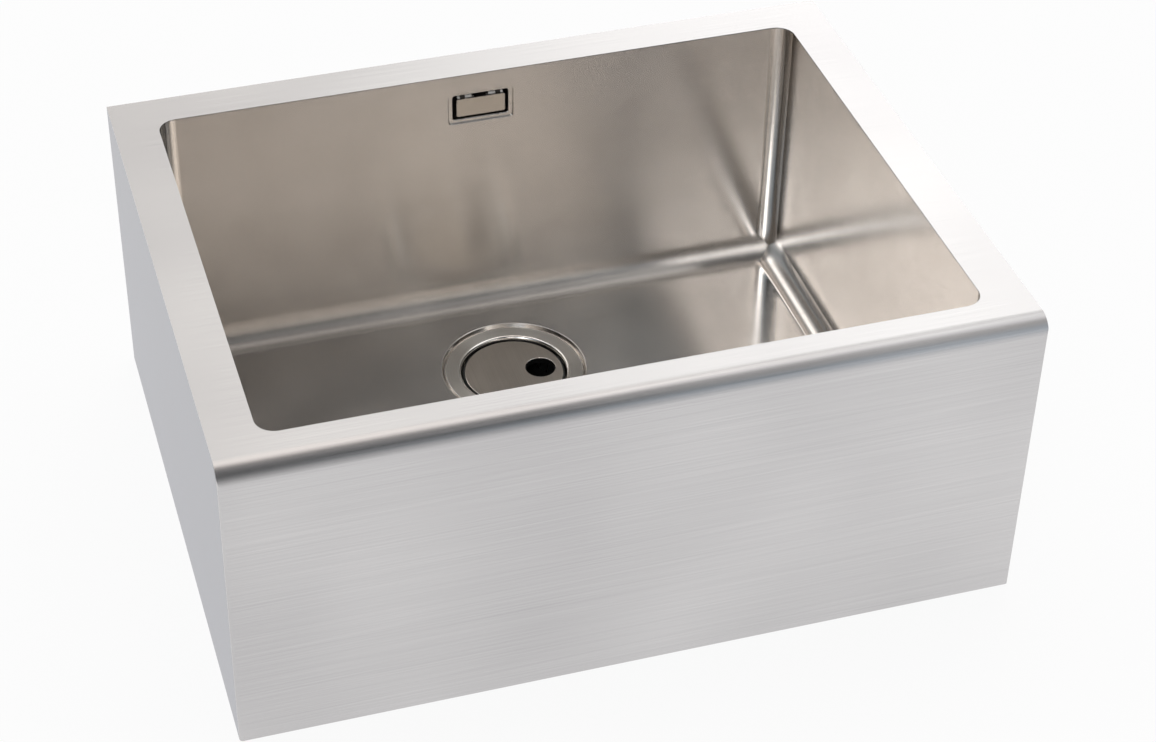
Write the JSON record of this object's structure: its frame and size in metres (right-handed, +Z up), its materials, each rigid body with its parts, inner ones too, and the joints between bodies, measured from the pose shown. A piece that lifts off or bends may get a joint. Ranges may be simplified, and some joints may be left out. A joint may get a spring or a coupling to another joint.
{
  "type": "apron front kitchen sink",
  "caption": "Boxed stainless apron front sink: single deep bowl with mitred radius corners, rolled front edge, basket strainer waste under a lift-off cover, and a rectangular overflow.",
  "frame": {"origin": "centre of the base on which the sink stands, in the plane of the base frame's underside", "axes": "+X to the sink's right, +Y from the apron to the back, +Z up"},
  "size_m": [0.6, 0.46, 0.315],
  "materials": {
    "brushed_deck": "long grain brushed along the width",
    "brushed_panel": "brushed sheet",
    "mill_sheet": "plain cold rolled sheet, hidden",
    "brushed_bowl": "brushed walls and floor, polished corner radii",
    "spun_steel": "brushed round the flange, polished lips",
    "brushed_cover": "fine straight brushing, polished edge",
    "fixing_steel": "plain turned or sprung steel",
    "turned_brass": "turned",
    "seal_rubber": "matte",
    "bitumen_pad": "matte felted sheet",
    "moulded_black": "moulded polypropylene",
    "moulded_grey": "moulded polypropylene"
  },
  "bodies": {
    "sink": {"deck_apron": "brushed_deck", "side_panel_left": "brushed_panel", "side_panel_right": "brushed_panel", "rear_panel": "brushed_panel", "base_frame": "mill_sheet", "bowl": "brushed_bowl", "floor_pad_left": "bitumen_pad", "floor_pad_right": "bitumen_pad", "side_pad_left": "bitumen_pad", "side_pad_right": "bitumen_pad", "front_pad": "bitumen_pad", "rear_pad_left": "bitumen_pad", "rear_pad_right": "bitumen_pad", "strainer_body": "spun_steel", "flange_seal": "seal_rubber", "under_gasket": "seal_rubber", "waste_housing": "moulded_grey", "waste_insert": "turned_brass", "waste_screw": "fixing_steel", "overflow_housing": "moulded_black", "overflow_gasket": "seal_rubber", "overflow_studs": "fixing_steel", "overflow_nuts": "fixing_steel", "overflow_pipe": "moulded_grey", "pipe_nut_upper": "moulded_grey", "pipe_washer_upper": "seal_rubber", "pipe_nut_lower": "moulded_grey", "pipe_washer_lower": "seal_rubber"},
    "basket": {"basket": "moulded_black", "basket_seal": "seal_rubber"},
    "cover": {"cover_plate": "brushed_cover", "cover_carrier": "moulded_black"},
    "overflow_cover": {"overflow_cover": "brushed_cover", "overflow_clips": "fixing_steel"}
  },
  "joints": [
    {"name": "basket_lift", "type": "slide", "parent": "sink", "child": "basket", "axis": [0, 0, 1], "range_m": [0, 0.28]},
    {"name": "cover_lift", "type": "slide", "parent": "basket", "child": "cover", "axis": [0, 0, 1], "range_m": [0, 0.26]},
    {"name": "overflow_cover_pull", "type": "slide", "parent": "sink", "child": "overflow_cover", "axis": [0, -1, 0], "range_m": [0, 0.05]}
  ]
}
